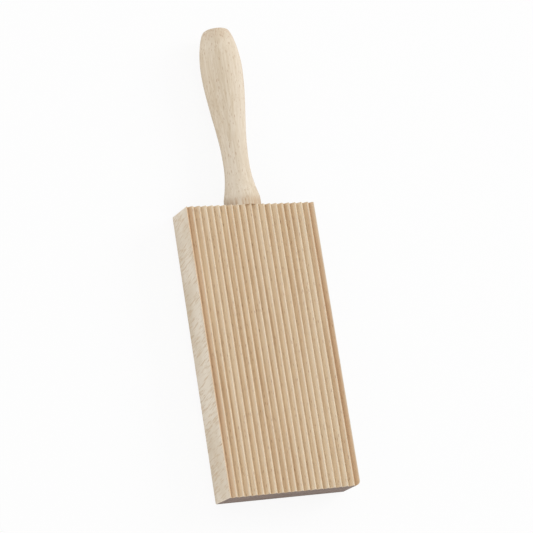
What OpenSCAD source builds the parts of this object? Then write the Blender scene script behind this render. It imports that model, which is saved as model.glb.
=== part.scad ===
// Gnocchi board with a turned handle.
//
// A flat hardwood blank carries sharp lengthwise ridges across its front. The turned handle has
// a round tenon, which is glued into a blind socket bored in the end of the board.
//
// X runs across the board, +Y towards the handle and +Z out of the ridged face. The origin is
// the centre of the board's flat back.

/* [Board] */
// Length of the board, without the handle
board_length = 135; // [100:1:200]
// Thickness from the flat back to the tops of the ridges
board_thickness = 17.3; // [15:0.1:25]
// Number of grooves, which with the spacing sets the width of the board
groove_count = 20; // [8:1:30]
// Spacing from one ridge to the next
ridge_pitch = 3.25; // [2.6:0.05:5]
// Depth of the grooves below the tops of the ridges
groove_depth = 2; // [0.8:0.1:3]
// Width of the flat left on top of each ridge
ridge_top = 0.3; // [0.1:0.05:1]
// Bevel on the back edges and on both ends
edge_bevel = 0.4; // [0.1:0.1:1]
// Radius of the corners, seen from the front
corner_r = 0.6; // [0.2:0.1:6]

/* [Handle] */
// Length of the handle, from the end of the board
handle_length = 88; // [80:1:130]
// Diameter of the collar that seats on the board
collar_d = 17.3; // [14:0.1:20]
// Length of the collar
collar_length = 5; // [2:0.5:10]
// Diameter of the neck
neck_d = 12.2; // [11:0.1:14]
// Distance of the neck from the end of the board
neck_at = 22; // [15:0.5:35]
// Diameter of the grip where it is thickest
grip_d = 19.8; // [15:0.1:28]
// Distance of the thickest place from the end of the board
grip_at = 69.5; // [45:0.5:78]
// Diameter of the flat at the end of the grip
end_d = 11.6; // [5:0.1:14]

/* [Glued joint] */
// Diameter of the tenon on the handle
tenon_d = 10; // [8:0.1:10.5]
// Length of the tenon
tenon_length = 22; // [12:1:35]
// Bevel at the tip of the tenon
tenon_bevel = 0.8; // [0.3:0.1:2]
// Thickness of the glue between the tenon and its socket
glue_thickness = 0.1; // [0.05:0.01:0.3]
// Air left in the socket past the tip of the tenon
socket_relief = 2; // [0.5:0.5:5]

/* [Hidden] */

// Sides of a full circle
$fn = 96;
// Steps along each stretch of the handle's outline
cove_steps = 10;
swell_steps = 20;
nose_steps = 14;
// How sharply the cove leaves the collar, and how full and how blunt the nose of the grip is
cove_power = 2;
nose_fullness = 1.7;
nose_bluntness = 0.65;
// How far a cut runs past the face that it opens
overcut = 1;

board_width = groove_count * ridge_pitch;
board_end = board_length / 2;
axis_height = board_thickness / 2;
socket_d = tenon_d + 2 * glue_thickness;
socket_depth = tenon_length + socket_relief;

// Along the cove, the swell and the nose, t runs from 0 to 1 and gives the radius
function cove_r(t) = (neck_d + (collar_d - neck_d) * pow(1 - t, cove_power)) / 2;
function swell_r(t) = (neck_d + (grip_d - neck_d) * (1 - cos(180 * t)) / 2) / 2;
function nose_r(t) = (end_d + (grip_d - end_d) * pow(1 - pow(t, nose_fullness), nose_bluntness)) / 2;

// Steps crowd together towards the end of the nose, where it turns most
function nose_t(i) = sin(90 * i / nose_steps);

// Across the board, seen from its free end: flat back below, ridges above
function groove(i) = [
    [i * ridge_pitch + ridge_top / 2, board_thickness],
    [(i + 0.5) * ridge_pitch, board_thickness - groove_depth],
    [(i + 1) * ridge_pitch - ridge_top / 2, board_thickness]
];

module ridge_section() {
    grooves = [for (i = [0 : groove_count - 1]) each groove(i)];
    translate([-board_width / 2, 0])
        polygon(concat(
            [[edge_bevel, 0], [0, edge_bevel], [0, board_thickness]],
            grooves,
            [[board_width, board_thickness], [board_width, edge_bevel], [board_width - edge_bevel, 0]]
        ));
}

// Along the board, seen from its side, with bevelled ends
module side_section() {
    polygon([
        [-board_end, edge_bevel],
        [-board_end, board_thickness - edge_bevel],
        [-board_end + edge_bevel, board_thickness],
        [board_end - edge_bevel, board_thickness],
        [board_end, board_thickness - edge_bevel],
        [board_end, edge_bevel],
        [board_end - edge_bevel, 0],
        [-board_end + edge_bevel, 0]
    ]);
}

// What a rounded corner takes off: side is -1 or 1 in X, end is -1 or 1 in Y
module corner_waste(side, end) {
    reach = corner_r + overcut;
    translate([side * (board_width / 2 - corner_r), end * (board_end - corner_r)])
        difference() {
            translate([min(side, 0) * reach, min(end, 0) * reach])
                square(reach);
            circle(r = corner_r);
        }
}

module plan_outline() {
    difference() {
        square([board_width, board_length], center = true);
        for (side = [-1, 1], end = [-1, 1])
            corner_waste(side, end);
    }
}

module board_blank() {
    intersection() {
        rotate([90, 0, 0])
            linear_extrude(height = board_length, center = true)
                ridge_section();
        rotate([90, 0, 90])
            linear_extrude(height = board_width, center = true)
                side_section();
        linear_extrude(height = board_thickness)
            plan_outline();
    }
}

// Moves a part drawn on Z, with its seat at 0, onto the joint with +Z along the handle
module at_joint() {
    translate([0, board_end, axis_height])
        rotate([-90, 0, 0])
            children();
}

module ridged_board() {
    color("#CFAE86")
        difference() {
            board_blank();
            at_joint()
                translate([0, 0, -socket_depth])
                    cylinder(d = socket_d, h = socket_depth + overcut);
        }
}

// Half of the handle's outline: tenon, collar, cove, swell and nose, as radius and height
module handle_outline() {
    cove_length = neck_at - collar_length;
    swell_length = grip_at - neck_at;
    nose_length = handle_length - grip_at;
    tenon = [
        [0, -tenon_length],
        [tenon_d / 2 - tenon_bevel, -tenon_length],
        [tenon_d / 2, -tenon_length + tenon_bevel],
        [tenon_d / 2, 0]
    ];
    collar = [[collar_d / 2, 0]];
    cove = [for (i = [0 : cove_steps - 1])
        let (t = i / cove_steps) [cove_r(t), collar_length + t * cove_length]];
    swell = [for (i = [0 : swell_steps - 1])
        let (t = i / swell_steps) [swell_r(t), neck_at + t * swell_length]];
    nose = [for (i = [0 : nose_steps])
        let (t = nose_t(i)) [nose_r(t), grip_at + t * nose_length]];
    polygon(concat(tenon, collar, cove, swell, nose, [[0, handle_length]]));
}

module handle() {
    color("#DCC8AC")
        at_joint()
            rotate_extrude()
                handle_outline();
}

// Fills the gap along the straight part of the tenon, up to the collar
module glue_line() {
    glue_length = tenon_length - tenon_bevel;
    color("#CDB673")
        at_joint()
            translate([0, 0, -glue_length])
                difference() {
                    cylinder(d = socket_d, h = glue_length);
                    translate([0, 0, -overcut])
                        cylinder(d = tenon_d, h = glue_length + 2 * overcut);
                }
}

ridged_board();
handle();
glue_line();
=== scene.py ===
import math

import bmesh
import bpy
from mathutils import Matrix, Vector, noise


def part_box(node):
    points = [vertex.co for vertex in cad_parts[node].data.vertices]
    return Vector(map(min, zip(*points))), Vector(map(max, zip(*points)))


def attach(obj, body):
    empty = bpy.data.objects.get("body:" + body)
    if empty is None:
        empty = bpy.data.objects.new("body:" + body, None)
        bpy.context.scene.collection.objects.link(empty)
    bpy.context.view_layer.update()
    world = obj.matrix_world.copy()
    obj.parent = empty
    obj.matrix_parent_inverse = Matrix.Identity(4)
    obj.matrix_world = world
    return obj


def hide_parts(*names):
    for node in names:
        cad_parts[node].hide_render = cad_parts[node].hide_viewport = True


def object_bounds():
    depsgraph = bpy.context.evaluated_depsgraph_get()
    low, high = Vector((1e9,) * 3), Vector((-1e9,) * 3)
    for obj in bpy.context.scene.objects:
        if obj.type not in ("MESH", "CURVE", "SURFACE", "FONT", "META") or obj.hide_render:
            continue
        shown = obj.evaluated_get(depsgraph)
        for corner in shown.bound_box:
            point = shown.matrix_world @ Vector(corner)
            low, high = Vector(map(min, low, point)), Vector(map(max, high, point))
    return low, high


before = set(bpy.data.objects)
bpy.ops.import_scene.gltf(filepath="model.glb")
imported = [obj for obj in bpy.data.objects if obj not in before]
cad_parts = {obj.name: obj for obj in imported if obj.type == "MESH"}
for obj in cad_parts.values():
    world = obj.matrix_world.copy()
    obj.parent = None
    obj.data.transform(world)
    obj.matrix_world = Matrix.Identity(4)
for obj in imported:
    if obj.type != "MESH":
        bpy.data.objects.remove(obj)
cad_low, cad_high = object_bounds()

MM = 0.001
TOUCHING = 0.001 * MM
ROUNDED_METRES = 5

# Sizes read off the frame
BOARD_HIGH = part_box("ridged_board")[1]
BOARD_TOP = BOARD_HIGH.z
BOARD_END = BOARD_HIGH.y
HALF_WIDTH = BOARD_HIGH.x
HANDLE_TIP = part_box("handle")[1].y
AXIS_Z = BOARD_TOP / 2

# The grooves, as they are cut, and how finely the wood is meshed
GROOVES = 20
PITCH = 2 * HALF_WIDTH / GROOVES
GROOVE_DEPTH = 2.0 * MM
ROWS_PER_GROOVE = 4
STATION_STEP = 0.75 * MM
HANDLE_SIDES = 128
HANDLE_STEP = 1.0 * MM
HANDLE_CUTS = 2

# Softened edges
RIDGE_ROUND = 0.1 * MM
EDGE_ROUND = 0.15 * MM
CORNER_ROUND = 0.6 * MM
WORN_CORNER_ROUND = 2.2 * MM
EDGE_SEGMENTS = 2
CORNER_SEGMENTS = 3
UPRIGHT_HEIGHT = 0.1 * MM
END_EDGE_ANGLE = 0.5
BOARD_CREASE = math.radians(30)
HANDLE_CREASE = math.radians(40)

# Hand wear: the length of one swing, its seed and how far it reaches
RIDGE_SWAYS = ((14 * MM, 1, 0.05 * MM), (2.2 * MM, 2, 0.02 * MM))
CREST_DIPS = ((6 * MM, 3, 0.12 * MM), (1.6 * MM, 4, 0.08 * MM))
HANDLE_HOLLOWS = (11 * MM, 5, 0.06 * MM)
HANDLE_CHATTER = (0.9 * MM, 6, 0.025 * MM)
SWAY_SPREAD = 3
DIP_SPREAD = 2
CHATTER_STRETCH = 6
STILL_EDGE = 1.0 * MM

# Finish
WOOD_GLOSS = 0.3
GRAIN_LEAN = math.radians(11)

# Soft room, lamps and floor
WHITE = (1.0, 1.0, 1.0, 1.0)
ROOM_LEVEL = 0.75
LAMPS = {
    "key": {"place": Vector((2.0, 0.75, 1.3)), "size": 1.2, "power": 23.0},
    "fill": {"place": Vector((-2.1, 0.5, 1.25)), "size": 1.6, "power": 9.0},
}
FLOOR_REACH = 6
FLOOR_GREY = (0.86, 0.86, 0.86, 1.0)
FLOOR_ROUGHNESS = 0.9
FLOOR_WHITENESS = 0.9

# Camera: its place, and its right, up and back directions as the columns of a turn
CAMERA_LENS = 148.6
CAMERA_SENSOR = 36
CAMERA_PLACE = (-0.425717, -0.190858, 0.887981 + BOARD_TOP)
CAMERA_TURN = Matrix((
    (0.90472402, 0.04567427, -0.42354257),
    (-0.15403785, 0.96203698, -0.22529355),
    (0.3971735, 0.26907007, 0.87741353),
))


class Value:
    """A number that varies over a surface, so that shader maths is written as plain sums."""

    def __init__(self, nodes, socket):
        self.nodes = nodes
        self.socket = socket

    def maths(self, operation, first, second=0.0):
        return self.nodes.node("ShaderNodeMath", {"operation": operation}, {0: first, 1: second})

    def __add__(self, other):
        return self.maths("ADD", self, other)

    __radd__ = __add__

    def __sub__(self, other):
        return self.maths("SUBTRACT", self, other)

    def __rsub__(self, other):
        return self.maths("SUBTRACT", other, self)

    def __mul__(self, other):
        return self.maths("MULTIPLY", self, other)

    __rmul__ = __mul__

    def __truediv__(self, other):
        return self.maths("DIVIDE", self, other)

    def __pow__(self, other):
        return self.maths("POWER", self, other)

    def __abs__(self):
        return self.maths("ABSOLUTE", self)

    def or_more(self, other):
        return self.maths("MAXIMUM", self, other)


class Nodes:
    """A node tree that is filled through one method."""

    def __init__(self, tree):
        self.tree = tree

    def feed(self, socket, value):
        if isinstance(value, Value):
            self.tree.links.new(value.socket, socket)
        else:
            socket.default_value = value

    def node(self, kind, settings=None, sockets=None, output=0):
        made = self.tree.nodes.new(kind)
        for name, value in (settings or {}).items():
            setattr(made, name, value)
        for name, value in (sockets or {}).items():
            self.feed(made.inputs[name], value)
        return Value(self, made.outputs[output])

    def rays(self, kind):
        """1 for rays of one kind, such as the camera's own, and 0 for all others."""
        return self.node("ShaderNodeLightPath", output=kind)


class Surface(Nodes):
    """One finish. Its patterns are made by short calls and end in the Principled shader."""

    def __init__(self, name):
        self.material = bpy.data.materials.new(name)
        self.material.use_nodes = True
        super().__init__(self.material.node_tree)
        self.shader = self.tree.nodes["Principled BSDF"]
        self.place = self.node("ShaderNodeTexCoord", output="Object")
        self.facing = self.node("ShaderNodeTexCoord", output="Normal")

    def part(self, vector, axis):
        return self.node("ShaderNodeSeparateXYZ", None, {0: vector}, axis)

    def stretched(self, x, y, z, shift=(0.0, 0.0, 0.0)):
        """Object coordinates with one unit per given number of millimetres along each axis."""
        scale = (1 / (x * MM), 1 / (y * MM), 1 / (z * MM))
        sockets = {"Vector": self.place, "Scale": scale, "Location": shift}
        return self.node("ShaderNodeMapping", None, sockets)

    def leaning(self, x, y, z):
        """Coordinates in millimetres, leaned along the board's side and packed by a factor on each axis."""
        scale = (1 / MM, 1 / MM, 1 / MM)
        sockets = {"Vector": self.place, "Rotation": (GRAIN_LEAN, 0.0, 0.0), "Scale": scale}
        leaned = self.node("ShaderNodeMapping", None, sockets)
        return self.node("ShaderNodeVectorMath", {"operation": "MULTIPLY"}, {0: leaned, 1: (x, y, z)})

    def cloud(self, where, detail=3.0, rough=0.55, twist=0.0):
        sockets = {"Vector": where, "Scale": 1.0, "Detail": detail, "Roughness": rough, "Distortion": twist}
        return self.node("ShaderNodeTexNoise", None, sockets)

    def ramp(self, value, low, high):
        """0 below low, 1 above high and a smooth rise between them."""
        settings = {"interpolation_type": "SMOOTHSTEP"}
        sockets = {"Value": value, "From Min": low, "From Max": high}
        return self.node("ShaderNodeMapRange", settings, sockets)

    def mix(self, share, first, second, most=None):
        """The first colour with a share of the second; most is the share where the mask is full."""
        factor = share if most is None else share * most
        settings = {"data_type": "RGBA", "blend_type": "MIX"}
        return self.node("ShaderNodeMix", settings, {0: factor, 6: first, 7: second}, 2)

    def dashes(self, across, along, fill, shift):
        """Short dark pores that run with the grain; fill is the share of cells that hold one."""
        core, rim, faintest = 0.16, 0.30, 0.45
        sockets = {"Vector": self.stretched(across, along, across, shift), "Scale": 1.0, "Randomness": 1.0}
        spot = self.node("ShaderNodeTexVoronoi", None, sockets, "Distance")
        pick = self.node("ShaderNodeTexVoronoi", None, sockets, "Color")
        kept = self.ramp(self.part(pick, 0), low=1 - fill, high=1.02 - fill)
        strength = faintest + (1 - faintest) * self.part(pick, 1)
        return (1 - self.ramp(spot, low=core, high=rim)) * kept * strength

    def finish(self, base, rough, height, depth):
        self.feed(self.shader.inputs["Base Color"], base)
        self.feed(self.shader.inputs["Roughness"], rough)
        sockets = {"Height": height, "Distance": depth, "Strength": 1.0}
        self.feed(self.shader.inputs["Normal"], self.node("ShaderNodeBump", None, sockets))
        self.shader.inputs["Specular IOR Level"].default_value = WOOD_GLOSS
        return self.material


def colour(red, green, blue):
    """A colour as it is read on screen, made linear."""
    def linear(level):
        share = level / 255
        return share / 12.92 if share <= 0.04045 else ((share + 0.055) / 1.055) ** 2.4
    return (linear(red), linear(green), linear(blue), 1.0)


def ridged_face(s, streak, fibre, pores):
    """Tan flanks with brown streaks, pale crests that are partly pale fuzzy fibres and partly a painted
    highlight, and redder wood near both long edges.
    """
    dark_tan = colour(207, 178, 142)
    light_tan = colour(229, 207, 174)
    pale_tan = colour(231, 213, 185)
    edge_brown = colour(200, 155, 114)
    # Crest colours: pale fuzzy fibres with a painted highlight on top of them.
    dull_crest_fuzz_and_highlight = colour(229, 213, 190)
    pale_crest_fuzz_and_highlight = colour(239, 227, 208)
    fibre_brown = colour(178, 136, 94)
    pore_brown = colour(160, 114, 72)
    highlight_narrowness = 9.0

    half_width = HALF_WIDTH / MM
    top = BOARD_TOP / MM
    x = s.part(s.place, 0) / MM
    z = s.part(s.place, 2) / MM
    bands = s.cloud(s.stretched(x=7, y=160, z=9, shift=(3.1, 0.2, 1.7)), detail=2)
    rise = s.ramp(z, low=top - GROOVE_DEPTH / MM, high=top)
    near_edge = s.ramp(abs(x), low=half_width - 5.5, high=half_width - 1.0)

    tan = s.mix(s.ramp(streak, low=0.30, high=0.70), dark_tan, light_tan)
    tan = s.mix(s.ramp(bands, low=0.40, high=0.70), tan, pale_tan, most=0.7)
    tan = s.mix(near_edge, tan, edge_brown, most=0.3)
    # Paler crest band, partly fuzzy fibres and partly painted highlight, mixed in by height in a narrow
    # band at the crest tops.
    crest_fuzz_and_highlight = s.mix(s.ramp(fibre, low=0.3, high=0.7), dull_crest_fuzz_and_highlight, pale_crest_fuzz_and_highlight)
    face = s.mix(rise ** highlight_narrowness, tan, crest_fuzz_and_highlight, most=0.9)
    face = s.mix(s.ramp(fibre, low=0.50, high=0.76), face, fibre_brown, most=0.4)
    return s.mix(pores, face, pore_brown, most=0.6)


def sawn_side(s):
    """Cream sides with fine leaning rays, some of them darker."""
    cream = colour(220, 206, 185)
    pale_cream = colour(234, 223, 206)
    ray_tan = colour(200, 174, 140)
    ray_brown = colour(184, 146, 104)

    rays = s.cloud(s.leaning(x=0.05, y=1.4, z=0.16), detail=3, rough=0.6, twist=0.3)
    patches = s.cloud(s.leaning(x=0.02, y=0.3, z=0.09), detail=3, rough=0.55, twist=0.6)
    tone = s.cloud(s.stretched(x=90, y=30, z=14, shift=(0.0, 2.3, 0.6)), detail=2)
    strong = s.ramp(rays, low=0.64, high=0.80) * s.ramp(patches, low=0.50, high=0.66)
    side = s.mix(s.ramp(tone, low=0.35, high=0.68), cream, pale_cream)
    side = s.mix(s.ramp(rays, low=0.48, high=0.66), side, ray_tan, most=0.6)
    return s.mix(strong, side, ray_brown)


def end_grain_and_painted_shade(s):
    """End grain with growth rings, dark and purplish partly as real end grain and partly as painted shade
    on the end faces.
    """
    grey = colour(134, 116, 108)
    pale_grey = colour(154, 136, 126)
    dark_grey = colour(112, 92, 82)

    rings = s.cloud(s.stretched(x=14, y=400, z=1.5, shift=(0.4, 0.0, 0.2)), detail=3, rough=0.6, twist=0.6)
    speckle = s.cloud(s.stretched(x=0.25, y=0.25, z=0.25), detail=3, rough=0.6)
    end = s.mix(s.ramp(rings, low=0.38, high=0.66), grey, pale_grey)
    return s.mix(s.ramp(speckle, low=0.45, high=0.75), end, dark_grey, most=0.5)


def board_beech():
    """Flat-sawn face with long brown streaks, ray figure on the sides and dark end grain, whose darkness is
    partly painted shade.
    """
    s = Surface("board_beech")
    torn_white = colour(238, 226, 208)
    streak = s.cloud(s.stretched(x=0.9, y=45, z=0.9), detail=4, rough=0.62)
    fibre = s.cloud(s.stretched(x=0.28, y=7, z=0.28), detail=3, rough=0.6)
    pores = s.dashes(across=0.62, along=3.4, fill=0.42, shift=(0.3, 0.7, 0.1))

    sideways = s.ramp(abs(s.part(s.facing, 0)), low=0.90, high=0.97)
    frayed = s.ramp(abs(s.part(s.facing, 1)), low=0.12, high=0.4)
    endwise = s.ramp(abs(s.part(s.facing, 1)), low=0.80, high=0.95)
    wood = s.mix(sideways, ridged_face(s, streak, fibre, pores), sawn_side(s))
    wood = s.mix(frayed, wood, torn_white, most=0.8)
    # Faces turned to the ends get the end grain colours, darkened partly as painted shade.
    wood = s.mix(endwise, wood, end_grain_and_painted_shade(s))

    smoothest, fibre_roughness = 0.62, 0.18
    fibre_relief, streak_relief, pore_relief = 0.6, 0.25, 0.8
    height = fibre * fibre_relief + streak * streak_relief - pores * pore_relief
    return s.finish(wood, smoothest + fibre_roughness * fibre, height, depth=0.07 * MM)


def handle_beech():
    """Paler turned beech with many short pores along the handle and darker grain at both ends."""
    s = Surface("handle_beech")
    dull_cream = colour(211, 193, 167)
    cream = colour(229, 215, 194)
    pale_cream = colour(233, 221, 203)
    fibre_tan = colour(196, 168, 134)
    pore_brown = colour(172, 134, 96)
    short_pore_tan = colour(182, 148, 110)
    nose_brown = colour(186, 152, 118)
    foot_brown = colour(188, 154, 116)

    y = s.part(s.place, 1) / MM
    tip = HANDLE_TIP / MM
    seat = BOARD_END / MM
    bands = s.cloud(s.stretched(x=6, y=60, z=6, shift=(1.3, 0.4, 2.2)), detail=2)
    streak = s.cloud(s.stretched(x=0.8, y=26, z=0.8, shift=(2.0, 0.0, 5.0)), detail=4, rough=0.6)
    fibre = s.cloud(s.stretched(x=0.25, y=5, z=0.25), detail=3, rough=0.6)
    pores = s.dashes(across=0.75, along=3.6, fill=0.55, shift=(0.5, 0.1, 0.9))
    short_pores = s.dashes(across=0.5, along=2.0, fill=0.35, shift=(4.5, 2.1, 3.9))

    wood = s.mix(s.ramp(streak, low=0.3, high=0.7), dull_cream, cream)
    wood = s.mix(s.ramp(bands, low=0.35, high=0.7), wood, pale_cream, most=0.6)
    wood = s.mix(s.ramp(fibre, low=0.5, high=0.8), wood, fibre_tan, most=0.3)
    wood = s.mix(pores, wood, pore_brown, most=0.62)
    wood = s.mix(short_pores, wood, short_pore_tan, most=0.45)
    nose = s.ramp(y, low=tip - 9, high=tip - 1) * s.ramp(streak, low=0.42, high=0.62)
    foot = (1 - s.ramp(y, low=seat + 1.5, high=seat + 5.5)) * s.ramp(streak, low=0.3, high=0.62)
    wood = s.mix(nose, wood, nose_brown, most=0.55)
    wood = s.mix(foot, wood, foot_brown, most=0.7)

    smoothest, fibre_roughness = 0.55, 0.2
    fibre_relief, streak_relief, pore_relief, short_pore_relief = 0.5, 0.2, 0.9, 0.6
    height = fibre * fibre_relief + streak * streak_relief
    height = height - pores * pore_relief - short_pores * short_pore_relief
    return s.finish(wood, smoothest + fibre_roughness * fibre, height, depth=0.05 * MM)


def set_glue():
    """Set wood glue, which the joint hides."""
    s = Surface("set_glue")
    smoothest, cloudiness = 0.3, 0.1
    cloud = s.cloud(s.stretched(x=1.5, y=1.5, z=1.5), detail=2)
    amber = s.mix(cloud, colour(222, 202, 150), colour(198, 170, 112))
    return s.finish(amber, smoothest + cloudiness * cloud, cloud, depth=0.02 * MM)


def close_to(value, target):
    return abs(value - target) < TOUCHING


def runs_lengthwise(edge):
    first, second = edge.verts
    return close_to(first.co.x, second.co.x) and close_to(first.co.z, second.co.z)


def is_upright_corner(edge):
    first, second = edge.verts
    at_corner = all(
        close_to(abs(v.co.x), HALF_WIDTH) and close_to(abs(v.co.y), BOARD_END) for v in edge.verts
    )
    return at_corner and abs(first.co.z - second.co.z) > UPRIGHT_HEIGHT


def is_ridge_or_back(edge):
    """The crest of a ridge, or one of the two long edges of the flat back."""
    if not runs_lengthwise(edge):
        return False
    place = edge.verts[0].co
    return close_to(place.z, BOARD_TOP) or (close_to(place.z, 0) and close_to(abs(place.x), HALF_WIDTH))


def is_end_edge(edge):
    at_end = all(abs(v.co.y) > BOARD_END - TOUCHING for v in edge.verts)
    return at_end and edge.calc_face_angle(0) > END_EDGE_ANGLE


def round_edges(mesh, wanted, size, segments):
    edges = [e for e in mesh.edges if wanted(e)]
    bmesh.ops.bevel(
        mesh, geom=edges, offset=size, segments=segments, affect="EDGES", profile=0.5, material=-1,
        clamp_overlap=True,
    )


def wobble(place, length, seed):
    """Smooth noise from -1 to 1 at a place, with one swing in about the given length."""
    return noise.noise(Vector(place) / length + Vector((seed, 2 * seed, 3 * seed)))


def cut_board():
    """The blank with its grooves, its edges softened in the order in which they meet."""
    mesh = bmesh.new()
    stations = round(2 * BOARD_END / STATION_STEP)
    bmesh.ops.create_grid(mesh, x_segments=GROOVES * ROWS_PER_GROOVE, y_segments=stations, size=0.5)
    for v in mesh.verts:
        v.co.x *= 2 * HALF_WIDTH
        v.co.y *= 2 * BOARD_END
        phase = (v.co.x + HALF_WIDTH) / PITCH % 1
        v.co.z = BOARD_TOP - GROOVE_DEPTH * (1 - abs(2 * phase - 1))
    under = bmesh.ops.extrude_face_region(mesh, geom=mesh.faces[:])["geom"]
    for v in under:
        if isinstance(v, bmesh.types.BMVert):
            v.co.z = 0.0
    bmesh.ops.recalc_face_normals(mesh, faces=mesh.faces)
    round_edges(mesh, is_upright_corner, CORNER_ROUND, CORNER_SEGMENTS)
    round_edges(mesh, is_ridge_or_back, RIDGE_ROUND, EDGE_SEGMENTS)
    round_edges(mesh, is_end_edge, EDGE_ROUND, EDGE_SEGMENTS)
    return mesh


def rub_corner(v, place):
    """Pulls a point in to the right corner of the free end, which is rounder towards the ridges."""
    radius = CORNER_ROUND + (WORN_CORNER_ROUND - CORNER_ROUND) * (place.z / BOARD_TOP) ** 2
    centre = Vector((HALF_WIDTH - radius, radius - BOARD_END))
    away = Vector((place.x, place.y)) - centre
    if away.x > 0 and away.y < 0 and away.length > radius:
        pulled = away.normalized() * radius + centre
        v.co.x = pulled.x
        v.co.y = pulled.y


def wear_board(mesh):
    """Ridges that wander a little, crests that dip, and one rubbed corner."""
    for v in mesh.verts:
        place = v.co.copy()
        height = (place.z - BOARD_TOP + GROOVE_DEPTH) / GROOVE_DEPTH
        if height > 0:
            along = (place.x * SWAY_SPREAD, place.y, 0)
            sway = sum(wobble(along, length, seed) * reach for length, seed, reach in RIDGE_SWAYS)
            v.co.x += sway * min(1.0, (HALF_WIDTH - abs(place.x)) / STILL_EDGE)
            along = (place.x * DIP_SPREAD, place.y, 0)
            dip = sum(max(0.0, wobble(along, length, seed)) * reach for length, seed, reach in CREST_DIPS)
            v.co.z -= dip * height ** 2
        rub_corner(v, place)


def handle_outline():
    """Distance along the handle and radius, from its tenon to its nose, read off the frame's own rings."""
    rings = {}
    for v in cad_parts["handle"].data.vertices:
        radius = math.hypot(v.co.x, v.co.z - AXIS_Z)
        rings.setdefault(round(v.co.y, ROUNDED_METRES), set()).add(round(radius, ROUNDED_METRES))
    outline = [(min(rings), 0.0)]
    for station in sorted(rings):
        outline += [(station, radius) for radius in sorted(rings[station]) if radius > 0]
    outline.append((max(rings), 0.0))
    return outline


def turn_handle():
    mesh = bmesh.new()
    points = [mesh.verts.new((radius, station, AXIS_Z)) for station, radius in handle_outline()]
    edges = [mesh.edges.new(pair) for pair in zip(points, points[1:])]
    long_edges = [e for e in edges if e.calc_length() > HANDLE_STEP]
    bmesh.ops.subdivide_edges(mesh, edges=long_edges, cuts=HANDLE_CUTS)
    bmesh.ops.spin(
        mesh, geom=mesh.verts[:] + mesh.edges[:], cent=(0, 0, AXIS_Z), axis=(0, 1, 0), dvec=(0, 0, 0),
        angle=math.tau, steps=HANDLE_SIDES, use_merge=True, use_duplicate=False,
    )
    bmesh.ops.remove_doubles(mesh, verts=mesh.verts, dist=TOUCHING)
    bmesh.ops.recalc_face_normals(mesh, faces=mesh.faces)
    return mesh


def wear_handle(mesh):
    """Shallow hollows and fine chatter of the turning tool on the part that stands out of the board."""
    for v in mesh.verts:
        out = Vector((v.co.x, 0, v.co.z - AXIS_Z))
        if v.co.y > BOARD_END + STILL_EDGE and out.length > STILL_EDGE:
            length, seed, reach = HANDLE_HOLLOWS
            dip = abs(wobble(v.co, length, seed)) * reach
            length, seed, reach = HANDLE_CHATTER
            dip += abs(wobble((v.co.x, v.co.y / CHATTER_STRETCH, v.co.z), length, seed)) * reach
            v.co -= out.normalized() * dip


def piece(name, mesh, node, material, crease):
    """Turns a finished mesh into the piece that stands for a node of the frame."""
    data = bpy.data.meshes.new(name)
    mesh.to_mesh(data)
    mesh.free()
    data.materials.append(material)
    data.shade_smooth()
    data.set_sharp_from_angle(angle=crease)
    made = bpy.data.objects.new(name, data)
    bpy.context.collection.objects.link(made)
    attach(made, "root")
    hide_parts(node)


def make_board():
    mesh = cut_board()
    wear_board(mesh)
    bmesh.ops.recalc_face_normals(mesh, faces=mesh.faces)
    piece("ridged_board_wood", mesh, "ridged_board", board_beech(), BOARD_CREASE)


def make_handle():
    mesh = turn_handle()
    wear_handle(mesh)
    piece("handle_wood", mesh, "handle", handle_beech(), HANDLE_CREASE)


def finish_glue():
    """The glue keeps the frame's own mesh and gets its finish through its material slots."""
    finish = set_glue()
    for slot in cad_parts["glue_line"].material_slots:
        slot.material = finish


def light_room():
    world = bpy.data.worlds.new("soft_room")
    bpy.context.scene.world = world
    world.use_nodes = True
    room = Nodes(world.node_tree)
    background = world.node_tree.nodes["Background"]
    background.inputs["Color"].default_value = WHITE
    seen = room.rays("Is Camera Ray").or_more(room.rays("Is Glossy Ray"))
    room.feed(background.inputs["Strength"], ROOM_LEVEL + (1 - ROOM_LEVEL) * seen)


def hang_lamps():
    for name, lamp in LAMPS.items():
        data = bpy.data.lights.new(name, "AREA")
        data.size = lamp["size"]
        data.energy = lamp["power"]
        hung = bpy.data.objects.new(name, data)
        hung.location = lamp["place"]
        hung.rotation_euler = (-lamp["place"]).to_track_quat("-Z", "Y").to_euler()
        bpy.context.collection.objects.link(hung)


def pale_floor():
    """Shows near white and keeps a faint shadow of the object."""
    material = bpy.data.materials.new("pale_floor")
    material.use_nodes = True
    floor = Nodes(material.node_tree)
    paint = material.node_tree.nodes["Principled BSDF"]
    paint.inputs["Base Color"].default_value = FLOOR_GREY
    paint.inputs["Roughness"].default_value = FLOOR_ROUGHNESS
    glow = floor.node("ShaderNodeEmission", None, {"Color": WHITE, "Strength": 1.0})
    painted = Value(floor, paint.outputs[0])
    sockets = {0: floor.rays("Is Camera Ray") * FLOOR_WHITENESS, 1: painted, 2: glow}
    shown = floor.node("ShaderNodeMixShader", None, sockets)
    floor.feed(material.node_tree.nodes["Material Output"].inputs["Surface"], shown)
    return material


def lay_floor():
    mesh = bmesh.new()
    bmesh.ops.create_grid(mesh, x_segments=1, y_segments=1, size=FLOOR_REACH)
    data = bpy.data.meshes.new("floor")
    mesh.to_mesh(data)
    mesh.free()
    data.materials.append(pale_floor())
    floor = bpy.data.objects.new("floor", data)
    floor.location.z = cad_low.z
    bpy.context.collection.objects.link(floor)


def set_camera():
    data = bpy.data.cameras.new("camera")
    data.lens = CAMERA_LENS
    data.sensor_width = CAMERA_SENSOR
    camera = bpy.data.objects.new("camera", data)
    bpy.context.collection.objects.link(camera)
    camera.matrix_world = Matrix.Translation(CAMERA_PLACE) @ CAMERA_TURN.to_4x4()
    bpy.context.scene.camera = camera


bpy.context.scene.view_settings.view_transform = "Standard"
make_board()
make_handle()
finish_glue()
light_room()
hang_lamps()
lay_floor()
set_camera()
